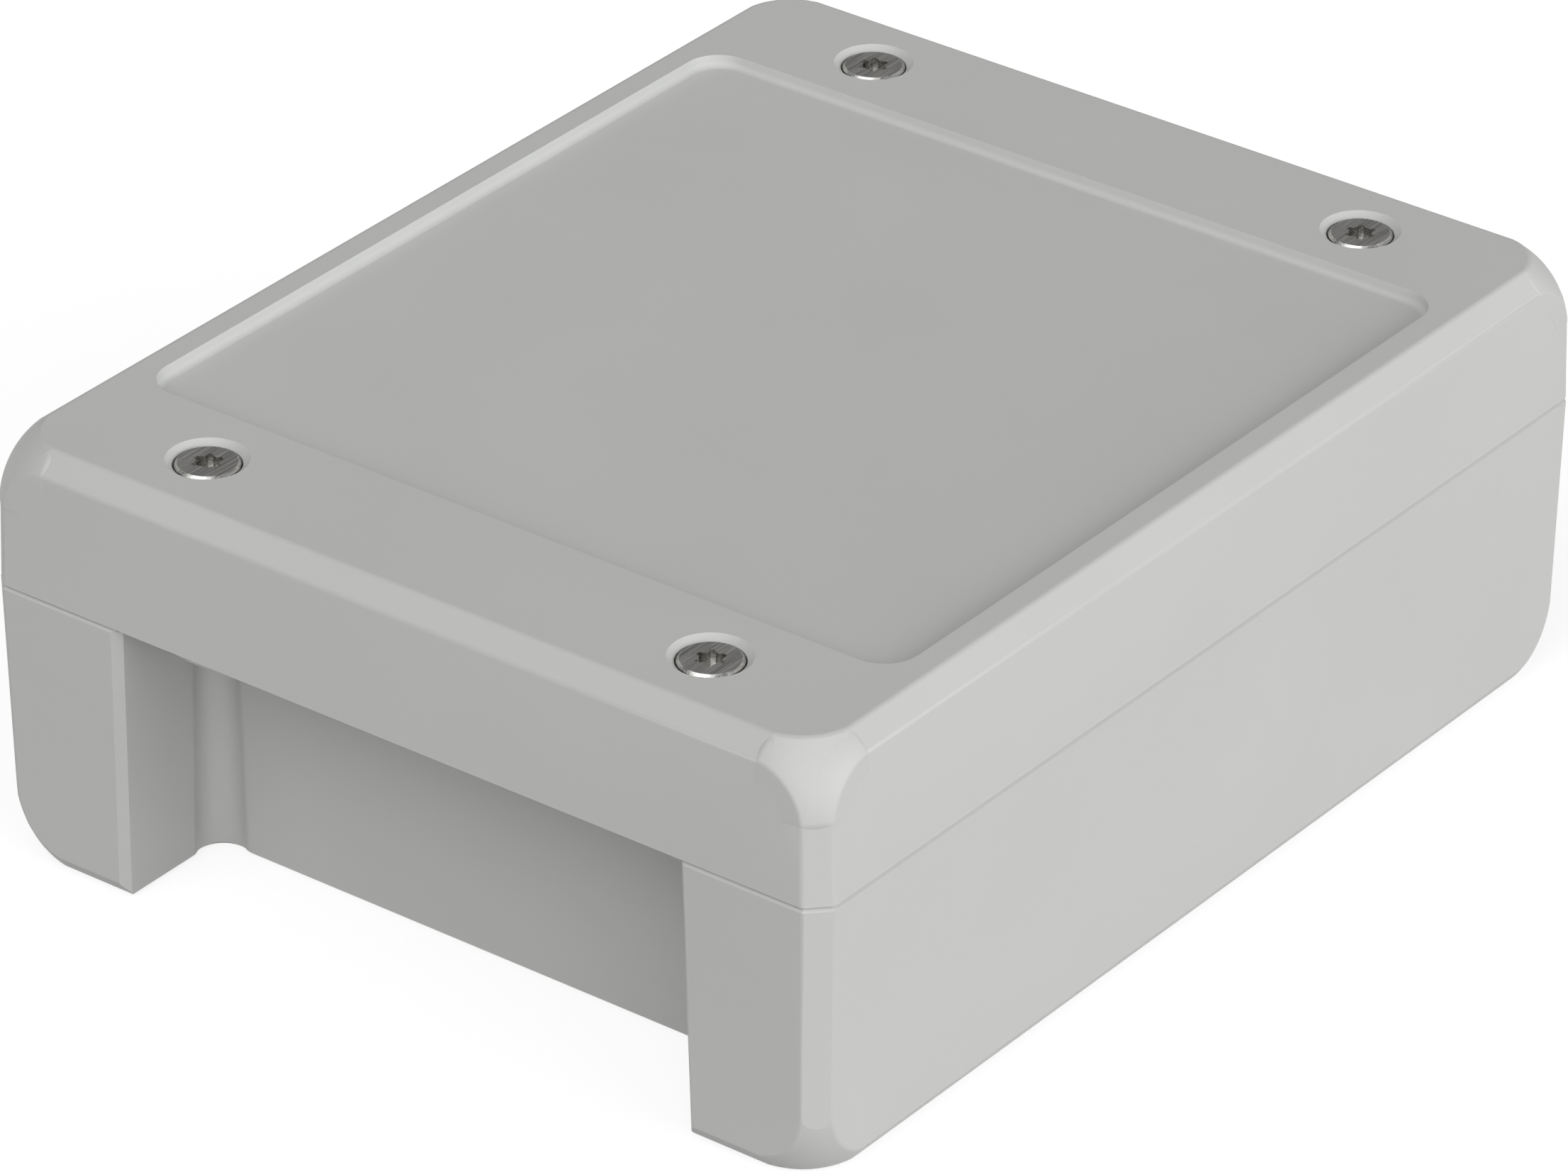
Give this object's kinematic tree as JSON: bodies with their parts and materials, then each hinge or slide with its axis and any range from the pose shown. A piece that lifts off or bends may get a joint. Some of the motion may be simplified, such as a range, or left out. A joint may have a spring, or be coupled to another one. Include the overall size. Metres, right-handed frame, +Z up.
{
  "type": "aluminium enclosure",
  "caption": "Flat die-cast aluminium enclosure with a sunk field on its screwed lid and end notches for cable glands.",
  "frame": {"origin": "middle of the underside, on the plane that the four legs stand on", "axes": "+Z up towards the lid, +Y along the long side, towards one cable end; -Y is the near end in the picture"},
  "size_m": [0.13, 0.1616, 0.06],
  "materials": {
    "casting_paint": "satin light grey powder coat",
    "seal": "matt black foam",
    "screw_steel": "turned stainless",
    "ring_plastic": "natural polyamide",
    "earth_steel": "stainless"
  },
  "bodies": {
    "base_body": {"base": "casting_paint", "earth_washer": "earth_steel", "earth_screw": "earth_steel"},
    "lid_body": {"lid": "casting_paint", "lid_gasket": "seal"},
    "ring_body_1": {"screw_ring_1": "ring_plastic"},
    "screw_body_1": {"lid_screw_1": "screw_steel"},
    "ring_body_2": {"screw_ring_2": "ring_plastic"},
    "screw_body_2": {"lid_screw_2": "screw_steel"},
    "ring_body_3": {"screw_ring_3": "ring_plastic"},
    "screw_body_3": {"lid_screw_3": "screw_steel"},
    "ring_body_4": {"screw_ring_4": "ring_plastic"},
    "screw_body_4": {"lid_screw_4": "screw_steel"}
  },
  "joints": [
    {"name": "lid_lift", "type": "slide", "parent": "base_body", "child": "lid_body", "axis": [0, 0, 1], "range_m": [0, 0.06]},
    {"name": "screw_rise_1", "type": "slide", "parent": "lid_body", "child": "ring_body_1", "axis": [0, 0, 1], "range_m": [0, 0.00672]},
    {"name": "screw_turn_1", "type": "hinge", "parent": "ring_body_1", "child": "screw_body_1", "pos_m": [-0.039, -0.06805, 0.0595], "axis": [0, 0, 1], "range_deg": [0, 3456]},
    {"name": "screw_rise_2", "type": "slide", "parent": "lid_body", "child": "ring_body_2", "axis": [0, 0, 1], "range_m": [0, 0.00672]},
    {"name": "screw_turn_2", "type": "hinge", "parent": "ring_body_2", "child": "screw_body_2", "pos_m": [0.039, -0.06805, 0.0595], "axis": [0, 0, 1], "range_deg": [0, 3456]},
    {"name": "screw_rise_3", "type": "slide", "parent": "lid_body", "child": "ring_body_3", "axis": [0, 0, 1], "range_m": [0, 0.00672]},
    {"name": "screw_turn_3", "type": "hinge", "parent": "ring_body_3", "child": "screw_body_3", "pos_m": [-0.039, 0.06805, 0.0595], "axis": [0, 0, 1], "range_deg": [0, 3456]},
    {"name": "screw_rise_4", "type": "slide", "parent": "lid_body", "child": "ring_body_4", "axis": [0, 0, 1], "range_m": [0, 0.00672]},
    {"name": "screw_turn_4", "type": "hinge", "parent": "ring_body_4", "child": "screw_body_4", "pos_m": [0.039, 0.06805, 0.0595], "axis": [0, 0, 1], "range_deg": [0, 3456]}
  ],
  "couplings": [
    {"joint": "screw_turn_1", "follows": "screw_rise_1", "rad_per_m": 8976},
    {"joint": "screw_turn_2", "follows": "screw_rise_2", "rad_per_m": 8976},
    {"joint": "screw_turn_3", "follows": "screw_rise_3", "rad_per_m": 8976},
    {"joint": "screw_turn_4", "follows": "screw_rise_4", "rad_per_m": 8976}
  ]
}
